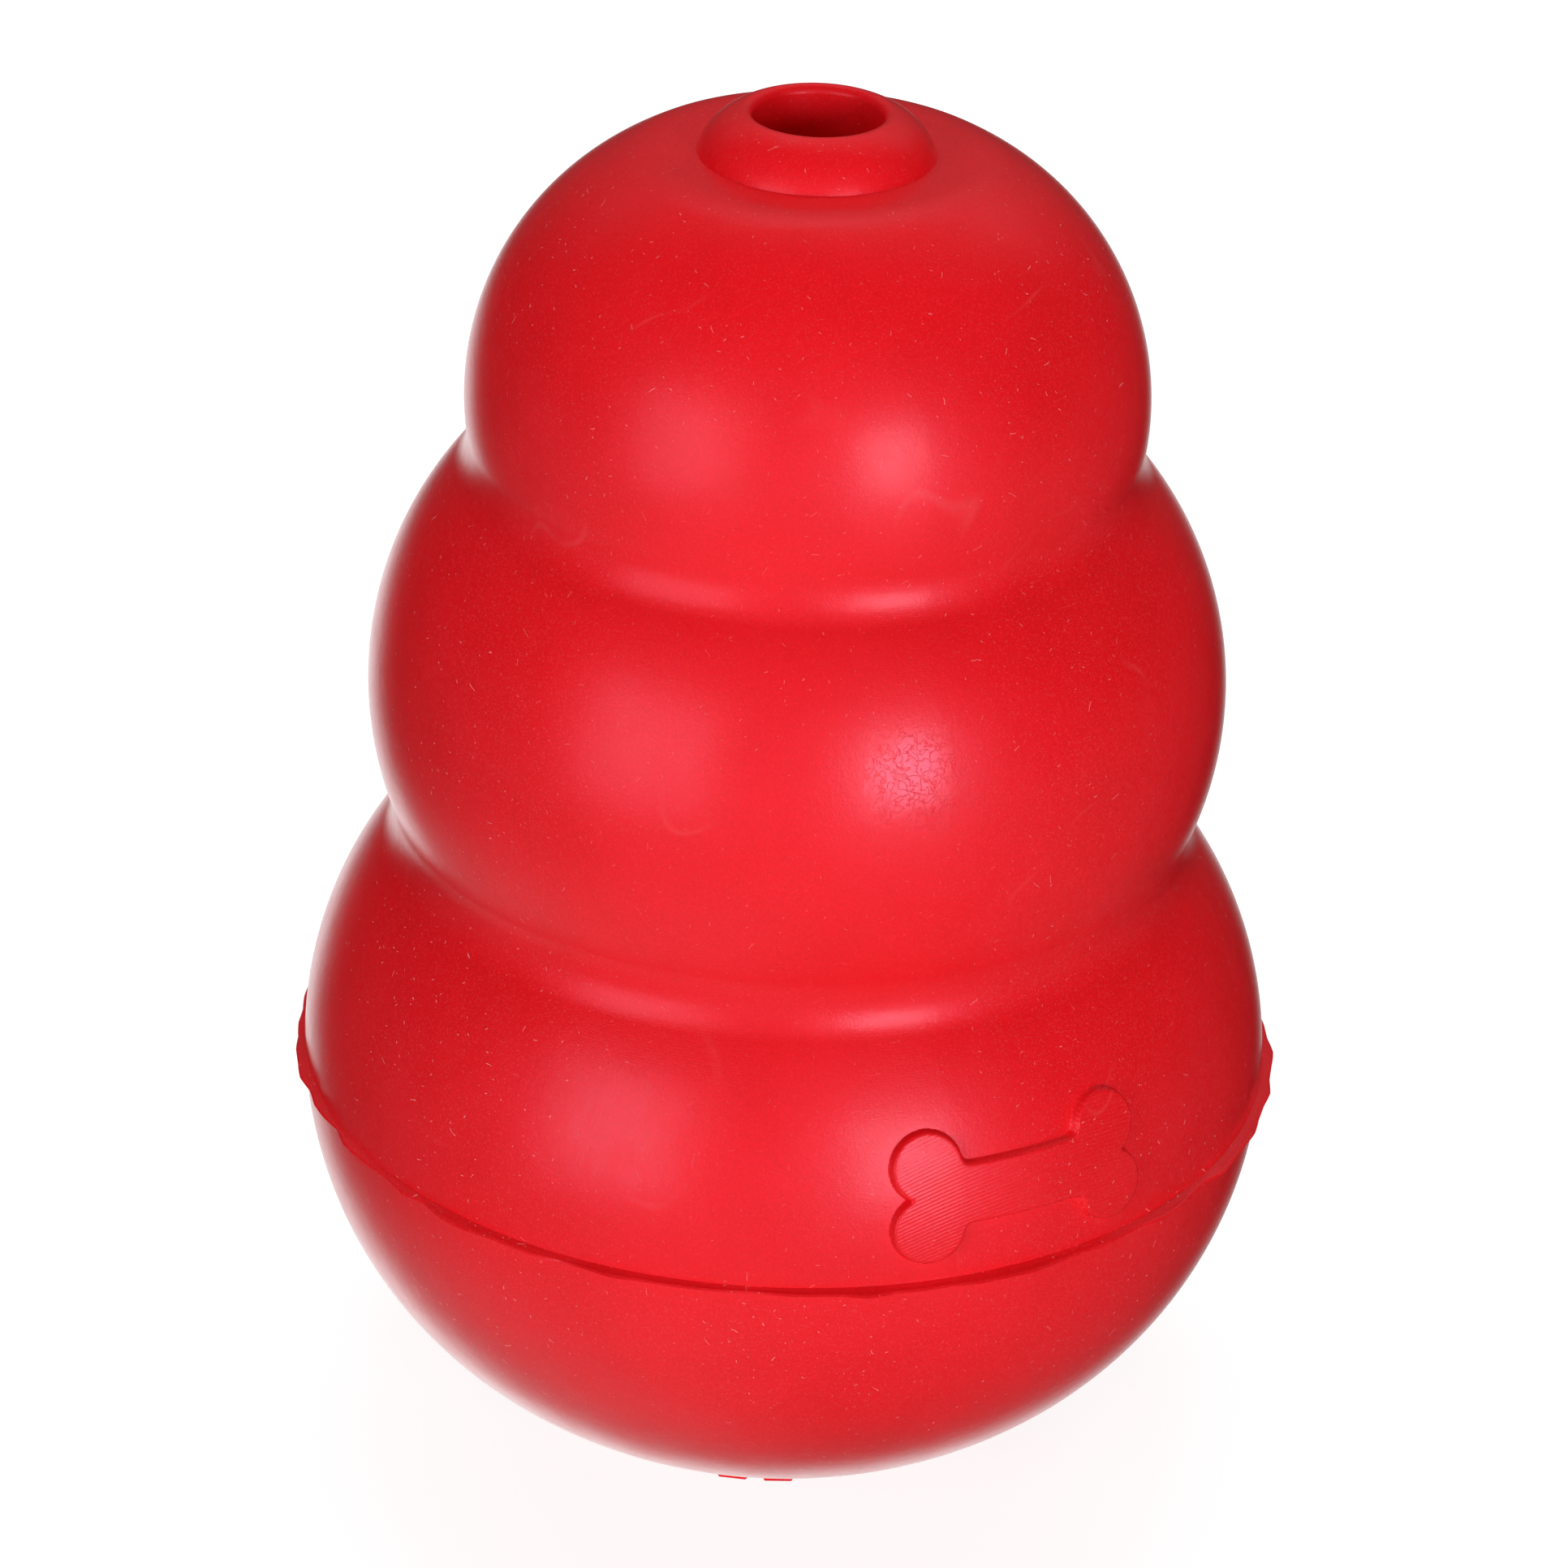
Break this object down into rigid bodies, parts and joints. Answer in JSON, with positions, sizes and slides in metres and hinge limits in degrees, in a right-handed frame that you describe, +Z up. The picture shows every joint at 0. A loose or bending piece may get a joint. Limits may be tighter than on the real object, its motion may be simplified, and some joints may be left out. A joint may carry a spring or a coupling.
{
  "type": "rubber chew toy",
  "caption": "Hollow red rubber chew toy of stacked rounded lobes, with a filling opening in the base and a small hole in its top collar.",
  "frame": {"origin": "centre of the flat ring that the toy stands on, on the axis of its lobes", "axes": "+Z up along the axis, from the filling opening to the small top hole; -Y is the front, with the emblem to the right of it; +X is to the right seen from the front"},
  "size_m": [0.0715, 0.0715, 0.0993],
  "materials": {
    "red_rubber": "satin",
    "flash_rubber": "satin"
  },
  "bodies": {
    "root": {"top_collar": "red_rubber", "crown_lobe": "red_rubber", "middle_lobe": "red_rubber", "base_lobe": "red_rubber", "parting_flash": "flash_rubber", "base_bowl": "red_rubber", "bottom_rim": "red_rubber", "bone_emblem": "red_rubber", "base_marks": "red_rubber"}
  },
  "joints": []
}
